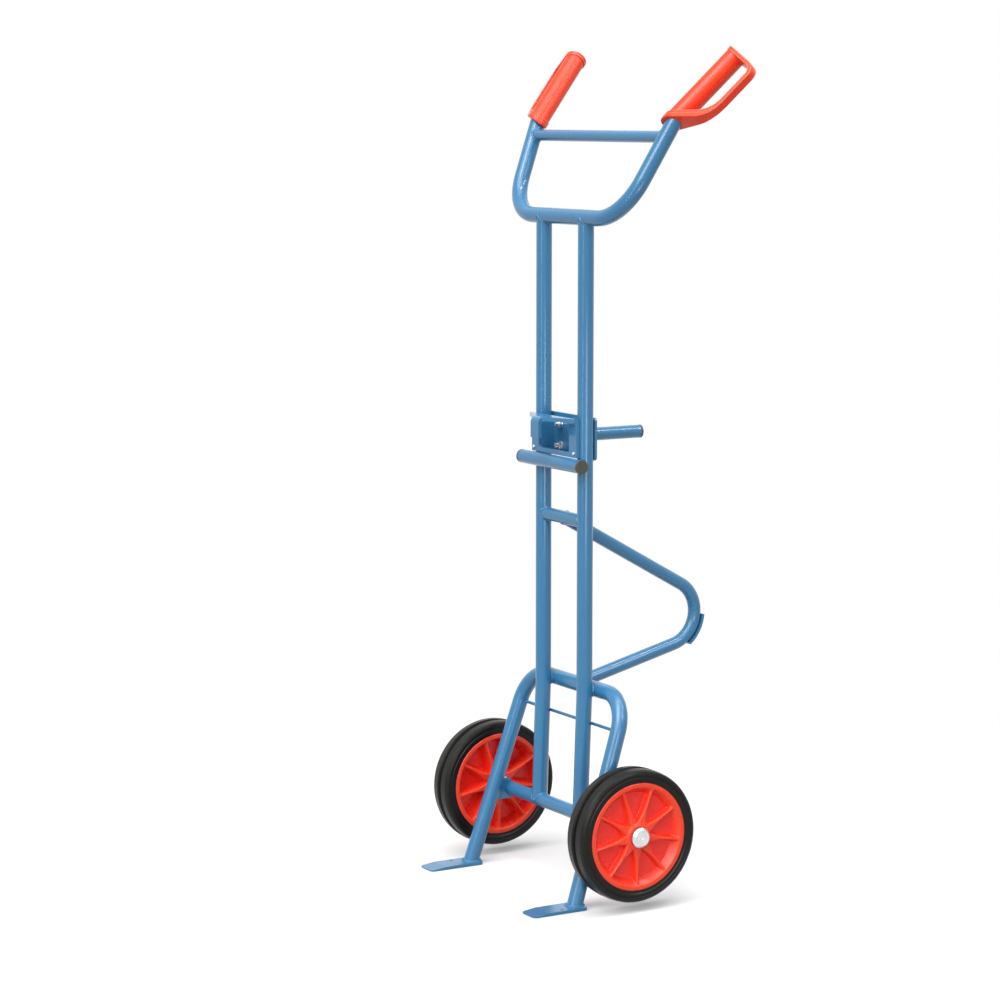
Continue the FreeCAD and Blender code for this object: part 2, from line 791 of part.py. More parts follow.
def roller_places():
    """Start points of the bearing rollers round the axle."""
    start = wheel_x - roller_length / 2
    turns = [2 * math.pi * step / roller_count for step in range(roller_count)]
    return [axle_point + Vector(start, bearing_radius * math.cos(turn), bearing_radius * math.sin(turn))
            for turn in turns]


def bearing_rollers():
    """The rollers that run between the left hub and the axle."""
    return Part.makeCompound([drilled(roller_diameter / 2, place, x_axis, roller_length)
                              for place in roller_places()])


def bearing_cage():
    """Sleeve with a slot for each roller."""
    start = axle_point + x_axis * (wheel_x - cage_length / 2)
    outer = bearing_radius + cage_wall / 2
    ring = drilled(outer, start, x_axis, cage_length)
    ring = ring.cut(drilled(outer - cage_wall, start, x_axis, cage_length))
    slots = [drilled(roller_diameter / 2 + cage_gap, place - x_axis * cage_gap, x_axis,
                     roller_length + cage_gap * 2) for place in roller_places()]
    return ring.cut(slots)


def save(name, shape):
    """Move a piece to the object's own origin and write it."""
    moved = shape.copy()
    moved.translate(Vector(0, plane_y, 0))
    moved.exportStep(os.path.join("parts", name + ".step"))


os.makedirs("parts", exist_ok=True)

pairs = [main_tube, grip, rest_tube_plug, toe_plate, axle_bracket, hub_cap, tyre, rim, bearing_cage,
         bearing_rollers]
for make in pairs:
    left = make()
    save(make.__name__ + "_left", left)
    save(make.__name__ + "_right", mirrored(left))

singles = [handle_bow, handle_brace, rest_tube, upper_cross_tube, rest_bow, wear_plate, leg_bow, tie_rod,
           axle_tube, axle, claw_hook, claw_rivets, claw_guide_box, claw_rear_plate, claw_screws,
           claw_washers, claw_nuts, claw_peg, claw_peg_plug]
for make in singles:
    save(make.__name__, make())

save("inner_washers", washer_pair(hub_inner - side_play - washer_thickness))
save("outer_washers", washer_pair(hub_outer + side_play))
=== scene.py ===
import bpy
import numpy as np
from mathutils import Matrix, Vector


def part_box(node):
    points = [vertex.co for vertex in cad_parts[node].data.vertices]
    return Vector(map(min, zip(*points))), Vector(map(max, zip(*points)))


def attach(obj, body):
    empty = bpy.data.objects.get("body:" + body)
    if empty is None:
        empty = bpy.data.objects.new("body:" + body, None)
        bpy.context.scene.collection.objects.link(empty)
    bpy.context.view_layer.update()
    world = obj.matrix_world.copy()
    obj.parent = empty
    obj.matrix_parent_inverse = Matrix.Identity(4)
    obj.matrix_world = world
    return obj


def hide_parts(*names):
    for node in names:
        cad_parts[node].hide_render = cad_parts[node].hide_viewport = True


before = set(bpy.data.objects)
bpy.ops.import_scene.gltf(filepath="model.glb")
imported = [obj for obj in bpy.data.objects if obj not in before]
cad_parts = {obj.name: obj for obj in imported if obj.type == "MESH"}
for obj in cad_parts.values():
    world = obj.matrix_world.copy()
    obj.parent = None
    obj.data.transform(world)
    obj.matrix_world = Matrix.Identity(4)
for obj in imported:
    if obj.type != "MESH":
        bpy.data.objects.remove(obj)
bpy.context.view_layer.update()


# Uprights: two plumb lengths of welded steel tube, set forward a little below the knee.
# They are powder coated with the whole frame after welding, in a glossy mid blue.
def linear(colour):
    """sRGB hex to linear light: each channel through the two-part sRGB curve, with full alpha."""
    value = np.array([int(colour[i:i + 2], 16) for i in (1, 3, 5)]) / 255
    value = np.where(value <= 0.04045, value / 12.92, ((value + 0.055) / 1.055) ** 2.4)
    return (*value.tolist(), 1.0)


def add(tree, kind, inputs, **settings):
    """Add one node, set its properties, and give each input, by name or number, a value or link."""
    node = tree.nodes.new(kind)
    for name, value in settings.items():
        setattr(node, name, value)
    for name, value in inputs.items():
        if isinstance(value, bpy.types.NodeSocket):
            tree.links.new(value, node.inputs[name])
        else:
            node.inputs[name].default_value = value
    return node


# The colour sockets of a mix node share their names with others, so they go by number.
mix_share, mix_from, mix_to, mixed = 0, 6, 7, 2


def start_material(name):
    """An empty node tree, and the object's own coordinates in metres."""
    material = bpy.data.materials.new(name)
    material.use_nodes = True
    tree = material.node_tree
    tree.nodes.clear()
    place = add(tree, "ShaderNodeTexCoord", {}).outputs["Object"]
    return material, tree, place


def powder_coat_blue(name, edge_radius):
    """Powder-coated steel: an even glossy film with a faint orange peel and fine paler flecks, a
    little thinner and paler where edges are rubbed. The flecks are coarser than real, to show."""
    material, tree, place = start_material(name)
    drift_size, fleck_size, peel_size, scuff_size = 0.160, 0.0009, 0.0030, 0.022
    drift = add(tree, "ShaderNodeTexNoise",
                {"Vector": place, "Scale": 1 / drift_size, "Detail": 2.0})
    grain = add(tree, "ShaderNodeTexNoise",
                {"Vector": place, "Scale": 1 / fleck_size, "Detail": 2.0})
    peel = add(tree, "ShaderNodeTexNoise",
               {"Vector": place, "Scale": 1 / peel_size, "Detail": 2.0, "Roughness": 0.4})
    scuff = add(tree, "ShaderNodeTexNoise",
                {"Vector": place, "Scale": 1 / scuff_size, "Detail": 6.0, "Roughness": 0.7})
    tone = add(tree, "ShaderNodeMix",
               {mix_share: drift.outputs["Fac"], mix_from: linear("#2C6E9A"),
                mix_to: linear("#3578A2")}, data_type="RGBA")
    fleck = add(tree, "ShaderNodeMapRange",
                {"Value": grain.outputs["Fac"], "From Min": 0.62, "From Max": 0.8,
                 "To Min": 0.0, "To Max": 0.06})
    tone = add(tree, "ShaderNodeMix",
               {mix_share: fleck.outputs["Result"], mix_from: tone.outputs[mixed],
                mix_to: linear("#6FA0C4")}, data_type="RGBA")
    round_normal = add(tree, "ShaderNodeBevel", {"Radius": edge_radius}, samples=6)
    true_normal = add(tree, "ShaderNodeNewGeometry", {})
    turn = add(tree, "ShaderNodeVectorMath",
               {0: round_normal.outputs["Normal"], 1: true_normal.outputs["Normal"]},
               operation="DOT_PRODUCT")
    edge = add(tree, "ShaderNodeMapRange",
               {"Value": turn.outputs["Value"], "From Min": 0.985, "From Max": 0.80,
                "To Min": 0.0, "To Max": 1.0})
    rub = add(tree, "ShaderNodeMapRange",
              {"Value": scuff.outputs["Fac"], "From Min": 0.45, "From Max": 0.62,
               "To Min": 0.10, "To Max": 0.55})
    wear = add(tree, "ShaderNodeMath", {0: edge.outputs["Result"], 1: rub.outputs["Result"]},
               operation="MULTIPLY")
    tone = add(tree, "ShaderNodeMix",
               {mix_share: wear.outputs[0], mix_from: tone.outputs[mixed],
                mix_to: linear("#86AFCC")}, data_type="RGBA")
    gloss = add(tree, "ShaderNodeMapRange",
                {"Value": scuff.outputs["Fac"], "From Min": 0.3, "From Max": 0.75,
                 "To Min": 0.26, "To Max": 0.38})
    bump = add(tree, "ShaderNodeBump",
               {"Strength": 0.08, "Distance": 0.00012, "Height": peel.outputs["Fac"],
                "Normal": round_normal.outputs["Normal"]})
    shader = add(tree, "ShaderNodeBsdfPrincipled",
                 {"Base Color": tone.outputs[mixed], "Roughness": gloss.outputs["Result"],
                  "IOR": 1.5, "Specular IOR Level": 0.18, "Coat Weight": 0.70,
                  "Coat Roughness": 0.14, "Coat IOR": 1.5, "Normal": bump.outputs["Normal"]})
    add(tree, "ShaderNodeOutputMaterial", {"Surface": shader.outputs["BSDF"]})
    return material


def coat(material, *names):
    """Give CAD nodes a finish in place of the one they came with."""
    for name in names:
        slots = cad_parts[name].data.materials
        slots.clear()
        slots.append(material)


tube_coat = powder_coat_blue("powder_coat_tube", edge_radius=0.0006)
coat(tube_coat, "main_tube_left", "main_tube_right")
tube_radius = 0.015
upright_places = (-0.075, 0.075)
plane_y = float(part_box("main_tube_left")[1][1]) - tube_radius


# Axle tube and its brackets: a short thick tube across the feet of the uprights.
# A plate on each side ties it to the leg in front; all of it is arc welded, and the beads show.
def unit(vectors):
    """Vectors of length one: each over the root of the sum of its squares."""
    return vectors / np.linalg.norm(vectors, axis=-1, keepdims=True)


def circle(centre, along, guide, radius, steps=96):
    """A ring square to a direction: the centre, plus the radius times the cosine and the sine of
    the turn along two axes square to the direction, the first of them square to the guide too."""
    first = unit(np.cross(along, guide))
    second = np.cross(along, first)
    turn = np.linspace(0, 2 * np.pi, steps, endpoint=False)[:, None]
    return centre + radius * (np.cos(turn) * first + np.sin(turn) * second)


def saddle(root, along, radius, line, axis, line_radius):
    """Seam of a tube that ends on a round bar: each point of the tube's skin goes along the tube
    until it is the bar's radius away from the bar's line (the outer root of that quadratic)."""
    root, along, line, axis = (np.array(v, float) for v in (root, along, line, axis))
    along = unit(along)
    skin = circle(root, along, axis, radius)
    gap = skin - line
    gap = gap - (gap @ axis)[:, None] * axis
    pull = along - (along @ axis) * axis
    half = gap @ pull
    inside = half ** 2 - (pull @ pull) * ((gap * gap).sum(1) - line_radius ** 2)
    travel = (np.sqrt(np.maximum(inside, 0)) - half) / (pull @ pull)
    return skin + travel[:, None] * along


def touch(contact, axis_a, axis_b, radius_a, radius_b, reach, steps=72):
    """Seam round the point where two crossed tubes touch: a ring of the given reach, laid half way
    between the two skins, which part by half the offset squared over each radius."""
    turn = np.linspace(0, 2 * np.pi, steps, endpoint=False)[:, None]
    along_a = reach * np.cos(turn)
    along_b = reach * np.sin(turn)
    lift = (along_a ** 2 / radius_b - along_b ** 2 / radius_a) / 4
    return contact + along_a * axis_a + along_b * axis_b + lift * np.cross(axis_a, axis_b)


def closed_grid(rows, columns):
    """Faces of a grid that closes on itself both ways: each point, the next one in its row, and the
    two beside them in the next row."""
    here = np.arange(rows * columns).reshape(rows, columns)
    after = np.roll(here, -1, 0)
    corners = [here, np.roll(here, -1, 1), np.roll(after, -1, 1), after]
    return np.stack(corners, -1).reshape(-1, 4)


def new_piece(name, points, faces, finish, body):
    """A smooth mesh from whole arrays of points and faces, with its finish, body and slot."""
    mesh = bpy.data.meshes.new(name)
    mesh.from_pydata(points.tolist(), [], faces.tolist())
    mesh.shade_smooth()
    piece = bpy.data.objects.new(name, mesh)
    bpy.context.scene.collection.objects.link(piece)
    piece.data.materials.append(finish)
    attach(piece, body)
    return piece


def bead(name, seams, radius, body, finish, pitch=0.0026, swell=0.10):
    """A bead: a round section carried along each closed seam; a weld swells with every drop of
    metal (radius times one plus a small cosine of the length along the seam over the pitch)."""
    sides, spots_per_drop, fewest_spots = 10, 5, 24
    points = []
    faces = []
    count = 0
    for seam in seams:
        step = np.linalg.norm(np.roll(seam, -1, 0) - seam, axis=1)
        length = np.concatenate([[0], np.cumsum(step)])
        spots = max(fewest_spots, int(length[-1] / pitch) * spots_per_drop)
        even = np.linspace(0, length[-1], spots, endpoint=False)
        looped = np.vstack([seam, seam[:1]])
        path = np.stack([np.interp(even, length, column) for column in looped.T], 1)
        ahead = unit(np.roll(path, -1, 0) - np.roll(path, 1, 0))
        out = path - path.mean(0)
        out = unit(out - (out * ahead).sum(1)[:, None] * ahead)
        side = np.cross(ahead, out)
        drops = max(1, round(length[-1] / pitch))
        beat = np.cos(2 * np.pi * drops * even / length[-1])[:, None, None]
        turn = np.linspace(0, 2 * np.pi, sides, endpoint=False)[None, :, None]
        section = np.cos(turn) * out[:, None, :] + np.sin(turn) * side[:, None, :]
        skin = path[:, None, :] + radius * (1 + swell * beat) * section
        points.append(skin.reshape(-1, 3))
        faces.append(closed_grid(spots, sides) + count)
        count += spots * sides
    new_piece(name, np.vstack(points), np.vstack(faces), finish, body)


def weld(name, seams, radius, body, pitch=0.0026):
    """Weld beads of one joint, coated with the tubes."""
    bead(name, seams, radius, body, tube_coat, pitch)


plate_coat = powder_coat_blue("powder_coat_plate", edge_radius=0.0010)
coat(tube_coat, "axle_tube")
coat(plate_coat, "axle_bracket_left", "axle_bracket_right")
foot_lead = 0.008
knee_z = 0.375
axle_y = plane_y - foot_lead
axle_z = 0.143
axle_tube_radius = 0.0135
side_way = np.array([1.0, 0.0, 0.0])
up_way = np.array([0.0, 0.0, 1.0])
lean_up = np.array([0.0, foot_lead, knee_z - axle_z])
axle_line = np.array([0.0, axle_y, axle_z])
axle_seams = [saddle((x, axle_y, axle_z), lean_up, tube_radius,
                     axle_line, side_way, axle_tube_radius)
              for x in upright_places]
weld("weld_axle_tube", axle_seams, radius=0.0022, body="frame")


# Leg bow: one tube bent into a wide arch behind the uprights and welded to them where it touches.
# Its legs lean forward to two flat toe plates, which are bevelled to slip under the load.
coat(tube_coat, "leg_bow", "tie_rod")
coat(plate_coat, "toe_plate_left", "toe_plate_right")
leg_radius = 0.015
leg_gap = 0.0001
leg_bar_y = plane_y + tube_radius + leg_radius + leg_gap
leg_bar_z = 0.380
leg_corner = np.array([0.175, leg_bar_y, leg_bar_z])
toe_lead = 0.09513
leg_foot = np.array([0.194, plane_y - toe_lead, 0.0])
toe_top = 0.006
toe_seam_out = 0.0006


def foot_seam(side):
    """Seam where a leaning leg stands on its plate: each point of the leg's skin goes down the leg
    to the plate's level, so the ring is an ellipse."""
    along = unit((leg_corner - leg_foot) * (side, 1, 1))
    skin = circle(leg_foot * (side, 1, 1), along, side_way, leg_radius + toe_seam_out)
    return skin + ((toe_top - skin[:, 2]) / along[2])[:, None] * along


weld("weld_toes", [foot_seam(side) for side in (-1, 1)], radius=0.0028, body="frame")
leg_touch = [touch((x, plane_y + tube_radius, leg_bar_z), up_way, side_way, tube_radius, leg_radius,
                   reach=0.0098)
             for x in upright_places]
weld("weld_leg_bow", leg_touch, radius=0.0024, body="frame")
tie_y = float(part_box("tie_rod")[0][1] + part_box("tie_rod")[1][1]) / 2
tie_z = 0.317
tie_radius = 0.003
tie_share = (tie_z - leg_foot[2]) / (leg_corner[2] - leg_foot[2])
tie_seams = []
for side in (-1, 1):
    leg_way = unit((leg_corner - leg_foot) * (side, 1, 1))
    leg_spot = (leg_foot + tie_share * (leg_corner - leg_foot)) * (side, 1, 1)
    tie_end = (leg_spot[0], tie_y, tie_z)
    tie_seams.append(saddle(tie_end, (-side, 0, 0), tie_radius, leg_spot, leg_way, leg_radius))
weld("weld_tie_rod", tie_seams, radius=0.0013, body="frame", pitch=0.0020)


# Upper cross tube and rear rest bow: a bow of thinner tube that the trolley lies back on.
# It runs from the cross tube round a tight bend to the leg bow, with a wear strip on the bend.
coat(tube_coat, "upper_cross_tube", "rest_bow")
coat(plate_coat, "wear_plate")
bow_radius = 0.0125
bow_reach = 0.406
bow_z = 0.476
cross_z = 0.703
bow_corner = np.array([0.0, plane_y + bow_reach, bow_z])
cross_spot = np.array([0.0, plane_y, cross_z])
leg_bar_spot = np.array([0.0, leg_bar_y, leg_bar_z])
cross_seams = [saddle((x, plane_y, cross_z), (-np.sign(x), 0, 0), bow_radius,
                      (x, plane_y, 0), up_way, tube_radius)
               for x in upright_places]
bow_seams = [saddle(spot, bow_corner - spot, bow_radius, spot, side_way, bar_radius)
             for spot, bar_radius in ((cross_spot, bow_radius), (leg_bar_spot, leg_radius))]
weld("weld_rest_bow", cross_seams + bow_seams, radius=0.0020, body="frame")


# Handle: a wide bow of tube across the tops of the uprights, with a thin brace between its sides.
# The tops of the uprights are notched to the bow and welded all round; the brace ends likewise.
coat(tube_coat, "handle_bow", "handle_brace")
handle_radius = 0.015
handle_z = 1.271
brace_radius = 0.011
brace_rise = 0.149
handle_side = np.array([0.0435, 0.0855, 0.178])
handle_corner = np.array([0.196, plane_y, handle_z])
handle_line = np.array([0.0, plane_y, handle_z])
top_seams = [saddle((x, plane_y, handle_z), -up_way, tube_radius,
                    handle_line, side_way, handle_radius)
             for x in upright_places]
weld("weld_handle", top_seams, radius=0.0019, body="frame")
brace_seams = []
for side in (-1, 1):
    way = handle_side * (side, 1, 1)
    spot = handle_corner * (side, 1, 1) + way * brace_rise / way[2]
    brace_seams.append(saddle(spot, (-side, 0, 0), brace_radius, spot, unit(way), handle_radius))
weld("weld_brace", brace_seams, radius=0.0024, body="frame")


# Grips: soft red plastic mouldings pushed over the handle ends, each with a knuckle guard.
# The skin has a fine spark-eroded grain, and a rolled lip follows the cuff and the guard's inside;
# the lip is painted a paler red, a painted highlight on its rolled edges.
def moulded_red(name, colour, dark, roughness, edge_radius, web=None):
    """Moulded polypropylene: bright, half glossy, with a fine grain from the tool and faint flow
    shades; the grain is drawn coarser than real, to show. A wheel's sunken web is painted a deeper
    red than its ribs, by the height over its middle plane: painted shade in the recess of one
    plastic."""
    material, tree, place = start_material(name)
    flow_size, grain_size, haze_size = 0.050, 0.0011, 0.018
    flow = add(tree, "ShaderNodeTexNoise",
               {"Vector": place, "Scale": 1 / flow_size, "Detail": 3.0})
    grain = add(tree, "ShaderNodeTexNoise",
                {"Vector": place, "Scale": 1 / grain_size, "Detail": 2.0})
    haze = add(tree, "ShaderNodeTexNoise",
               {"Vector": place, "Scale": 1 / haze_size, "Detail": 5.0})
    tone = add(tree, "ShaderNodeMix",
               {mix_share: flow.outputs["Fac"], mix_from: linear(dark), mix_to: linear(colour)},
               data_type="RGBA")
    # Painted shade: the sunken web is painted a deeper red by its depth below the rib tops.
    if web:
        split = add(tree, "ShaderNodeSeparateXYZ", {"Vector": place})
        out = add(tree, "ShaderNodeMath", {0: split.outputs["X"]}, operation="ABSOLUTE")
        off = add(tree, "ShaderNodeMath", {0: out.outputs[0], 1: web["middle"]},
                  operation="SUBTRACT")
        off = add(tree, "ShaderNodeMath", {0: off.outputs[0]}, operation="ABSOLUTE")
        level = add(tree, "ShaderNodeMapRange",
                    {"Value": off.outputs[0], "From Min": web["low"], "From Max": web["high"]})
        tone = add(tree, "ShaderNodeMix",
                   {mix_share: level.outputs["Result"], mix_from: linear(web["colour"]),
                    mix_to: tone.outputs[mixed]}, data_type="RGBA")
    round_normal = add(tree, "ShaderNodeBevel", {"Radius": edge_radius}, samples=16)
    bump = add(tree, "ShaderNodeBump",
               {"Strength": 0.05, "Distance": 0.00010, "Height": grain.outputs["Fac"],
                "Normal": round_normal.outputs["Normal"]})
    matt = add(tree, "ShaderNodeMapRange",
               {"Value": haze.outputs["Fac"], "From Min": 0.3, "From Max": 0.7,
                "To Min": roughness - 0.05, "To Max": roughness + 0.06})
    shader = add(tree, "ShaderNodeBsdfPrincipled",
                 {"Base Color": tone.outputs[mixed], "Roughness": matt.outputs["Result"],
                  "IOR": 1.49, "Specular IOR Level": 0.36, "Normal": bump.outputs["Normal"]})
    add(tree, "ShaderNodeOutputMaterial", {"Surface": shader.outputs["BSDF"]})
    return material


def arc_run(before, corner, after, radius, steps=48):
    """Tangent arc in a corner of a flat route: centre on the bisector, swept from leg to leg."""
    back = unit(before - corner)
    ahead = unit(after - corner)
    half = np.arccos(np.clip(back @ ahead, -1, 1)) / 2
    centre = corner + unit(back + ahead) * radius / np.sin(half)
    first = corner + back * radius / np.tan(half) - centre
    last = corner + ahead * radius / np.tan(half) - centre
    start = np.arctan2(first[1], first[0])
    sweep = (np.arctan2(last[1], last[0]) - start + np.pi) % (2 * np.pi) - np.pi
    turn = start + sweep * np.linspace(0, 1, steps)
    return centre + radius * np.stack([np.cos(turn), np.sin(turn)], 1)


def grip_lip(side, inset):
    """Lip on the grip's skin: the outline of the finger opening moved out by the inset along its
    normal, then laid on the cuff's round back (circle) and on its straight sides, once for each
    side, as one loop."""
    long_steps, short_steps, least_step = 240, 120, 1e-7
    slope = guard_drop / guard_reach
    inner = guard_reach - guard_thickness
    under = grip_length - guard_thickness
    fall = (guard_crotch - cuff_top) / (inner + cuff_back)
    route = np.array([[-outline_back, under + slope * outline_back],
                      [inner, under - slope * inner],
                      [inner, guard_crotch],
                      [-outline_back, guard_crotch - fall * (inner + outline_back)]])
    upper = arc_run(*route[:3], armpit_radius)
    lower = arc_run(*route[1:], crotch_radius)
    legs = np.vstack([np.linspace(route[0], upper[0], long_steps), upper,
                      np.linspace(upper[-1], lower[0], short_steps), lower,
                      np.linspace(lower[-1], route[3], long_steps)])
    moved = np.linalg.norm(np.diff(legs, axis=0), axis=1) > least_step
    legs = legs[np.concatenate([[True], moved])]
    way = unit(np.gradient(legs, axis=0))
    legs = legs + inset * np.stack([-way[:, 1], way[:, 0]], 1)
    legs = legs[legs[:, 0] > -cuff_radius]
    end = np.array([guard_reach, guard_width / 2])
    turn = np.arctan2(end[1], end[0]) + np.arccos(cuff_radius / np.linalg.norm(end))
    flank = cuff_radius * np.array([np.cos(turn), np.sin(turn)])
    u, w = legs[:, 0], legs[:, 1]
    taper = flank[1] + (u - flank[0]) * (end[1] - flank[1]) / (end[0] - flank[0])
    bulge = np.sqrt(np.maximum(cuff_radius ** 2 - u ** 2, 0))
    v = np.where(u < flank[0], bulge, taper) - lip_sink
    loop = np.vstack([np.stack([u, v, w], 1), np.stack([u, -v, w], 1)[::-1]])
    along = unit(grip_way)
    outward = unit(side_way - along * along[0])
    way_out = outward * np.cos(guard_turn) + np.cross(along, outward) * np.sin(guard_turn)
    axes = np.stack([way_out, np.cross(along, way_out), along])
    return (grip_root + loop @ axes) * (side, 1, 1)


grip_red = moulded_red("moulded_grip_red", "#F2421B", "#E93A17", roughness=0.34, edge_radius=0.0012)
coat(grip_red, "grip_left", "grip_right")
grip_root = handle_corner + handle_side
grip_way = np.array([0.0375, 0.1055, 0.1140])
grip_length = 0.1675
guard_reach = 0.0725
guard_thickness = 0.0085
guard_width = 0.015
guard_drop = 0.0075
guard_turn = np.radians(13)
guard_crotch = 0.0499
armpit_radius = 0.0155
crotch_radius = 0.050
cuff_radius = 0.021
cuff_top = -0.0067
cuff_back = 0.026
outline_back = 0.030
lip_sink = 0.0007
lip_insets = (0.0014, 0.0068)
lips = [grip_lip(side, inset) for side in (-1, 1) for inset in lip_insets]
# Painted highlight: the lip beads are a paler red than the grip, standing in for light on their
# rolled edges.
lip_painted_highlight_red = moulded_red("moulded_lip_red_painted_highlight", "#FF6E52", "#FB6247", roughness=0.22, edge_radius=0.0004)
bead("grip_lips", lips, radius=0.0012, body="frame", finish=lip_painted_highlight_red,
     pitch=0.004, swell=0.0)


# Load rest tube: a short tube across the front of the uprights, closed by pressed-in plugs.
# It is welded where it touches each upright, and the claw comes to rest on its top.
def moulded_black(name, colour):
    """Moulded polyethylene: near black, dull, with paler clouds and a fine grain from the tool,
    which is drawn coarser than real, to show."""
    material, tree, place = start_material(name)
    cloud_size, grain_size, edge_radius = 0.006, 0.0009, 0.0012
    shade = add(tree, "ShaderNodeTexNoise",
                {"Vector": place, "Scale": 1 / cloud_size, "Detail": 4.0})
    grain = add(tree, "ShaderNodeTexNoise",
                {"Vector": place, "Scale": 1 / grain_size, "Detail": 2.0})
    tone = add(tree, "ShaderNodeMix",
               {mix_share: shade.outputs["Fac"], mix_from: linear(colour),
                mix_to: linear("#4A483C")}, data_type="RGBA")
    round_normal = add(tree, "ShaderNodeBevel", {"Radius": edge_radius}, samples=6)
    bump = add(tree, "ShaderNodeBump",
               {"Strength": 0.2, "Distance": 0.0002, "Height": grain.outputs["Fac"],
                "Normal": round_normal.outputs["Normal"]})
    shader = add(tree, "ShaderNodeBsdfPrincipled",
                 {"Base Color": tone.outputs[mixed], "Roughness": 0.55, "IOR": 1.5,
                  "Normal": bump.outputs["Normal"]})
    add(tree, "ShaderNodeOutputMaterial", {"Surface": shader.outputs["BSDF"]})
    return material


coat(tube_coat, "rest_tube")
plug_black = moulded_black("moulded_plug_black", "#2B2A22")
coat(plug_black, "rest_tube_plug_left", "rest_tube_plug_right")
rest_radius = 0.013
rest_z = 0.811
rest_touch = [touch((x, plane_y - tube_radius, rest_z), up_way, side_way, tube_radius, -rest_radius,
                    reach=0.0085)
              for x in upright_places]
weld("weld_rest_tube", rest_touch, radius=0.0018, body="frame")


# Claw: a bent plate with a hooked finger, joined by a folded guide box to a plate behind.
# It slides on the uprights, is lifted by the tube peg, and its screws and rivets are zinc plated.
def turned_rings(tree, place, pitch):
    """Coordinates from the axle's middle, and rings round the axle with one wave to each pitch."""
    waves_at_scale_one = 3.2
    centred = add(tree, "ShaderNodeMapping",
                  {"Vector": place, "Location": (0.0, -axle_y, -axle_z)})
    rings = add(tree, "ShaderNodeTexWave",
                {"Vector": centred.outputs["Vector"], "Scale": 1 / pitch / waves_at_scale_one,
                 "Distortion": 0.0}, wave_type="RINGS", rings_direction="X")
    return centred.outputs["Vector"], rings.outputs["Fac"]


def zinc_plate(name, colour, roughness):
    """Bright zinc on pressed or turned steel: pale grey metal with a cloudy sheen and fine rings,
    which are drawn coarser than real, to show."""
    material, tree, place = start_material(name)
    cloud_size, ring_pitch = 0.007, 0.0024
    cloud = add(tree, "ShaderNodeTexNoise",
                {"Vector": place, "Scale": 1 / cloud_size, "Detail": 4.0})
    tone = add(tree, "ShaderNodeMix",
               {mix_share: cloud.outputs["Fac"], mix_from: linear(colour),
                mix_to: linear("#DADCDE")}, data_type="RGBA")
    rings = turned_rings(tree, place, ring_pitch)[1]
    bump = add(tree, "ShaderNodeBump", {"Strength": 0.25, "Distance": 0.0003, "Height": rings})
    matt = add(tree, "ShaderNodeMapRange",
               {"Value": cloud.outputs["Fac"], "From Min": 0.3, "From Max": 0.7,
                "To Min": roughness - 0.06, "To Max": roughness + 0.08})
    shader = add(tree, "ShaderNodeBsdfPrincipled",
                 {"Base Color": tone.outputs[mixed], "Metallic": 1.0,
                  "Roughness": matt.outputs["Result"], "Normal": bump.outputs["Normal"]})
    add(tree, "ShaderNodeOutputMaterial", {"Surface": shader.outputs["BSDF"]})
    return material


coat(plate_coat, "claw_hook", "claw_guide_box", "claw_rear_plate")
coat(tube_coat, "claw_peg")
coat(plug_black, "claw_peg_plug")
bright_zinc = zinc_plate("bright_zinc", "#B9BBBD", roughness=0.27)
coat(bright_zinc, "claw_screws", "claw_washers", "claw_nuts", "claw_rivets")
peg_low, peg_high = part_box("claw_peg")
peg_seam_radius = 0.0128
peg_seam_lift = 0.0008
peg_foot = np.array([0.0, float(peg_low[1]) + peg_seam_lift, float(peg_low[2] + peg_high[2]) / 2])
peg_seam = circle(peg_foot, np.array([0.0, -1.0, 0.0]), -up_way, peg_seam_radius)
weld("weld_peg", [peg_seam], radius=0.0020, body="claw")


# Axle, washers and caps: a drawn steel bar through the axle tube, with a push-on cap on each end.
# The caps are pressed from thin steel and zinc plated; washers part the hubs from tube and cap.
coat(bright_zinc, "hub_cap_left", "hub_cap_right", "inner_washers", "outer_washers")
drawn_steel = zinc_plate("drawn_steel", "#9A9DA0", roughness=0.33)
coat(drawn_steel, "axle", "bearing_rollers_left", "bearing_rollers_right")


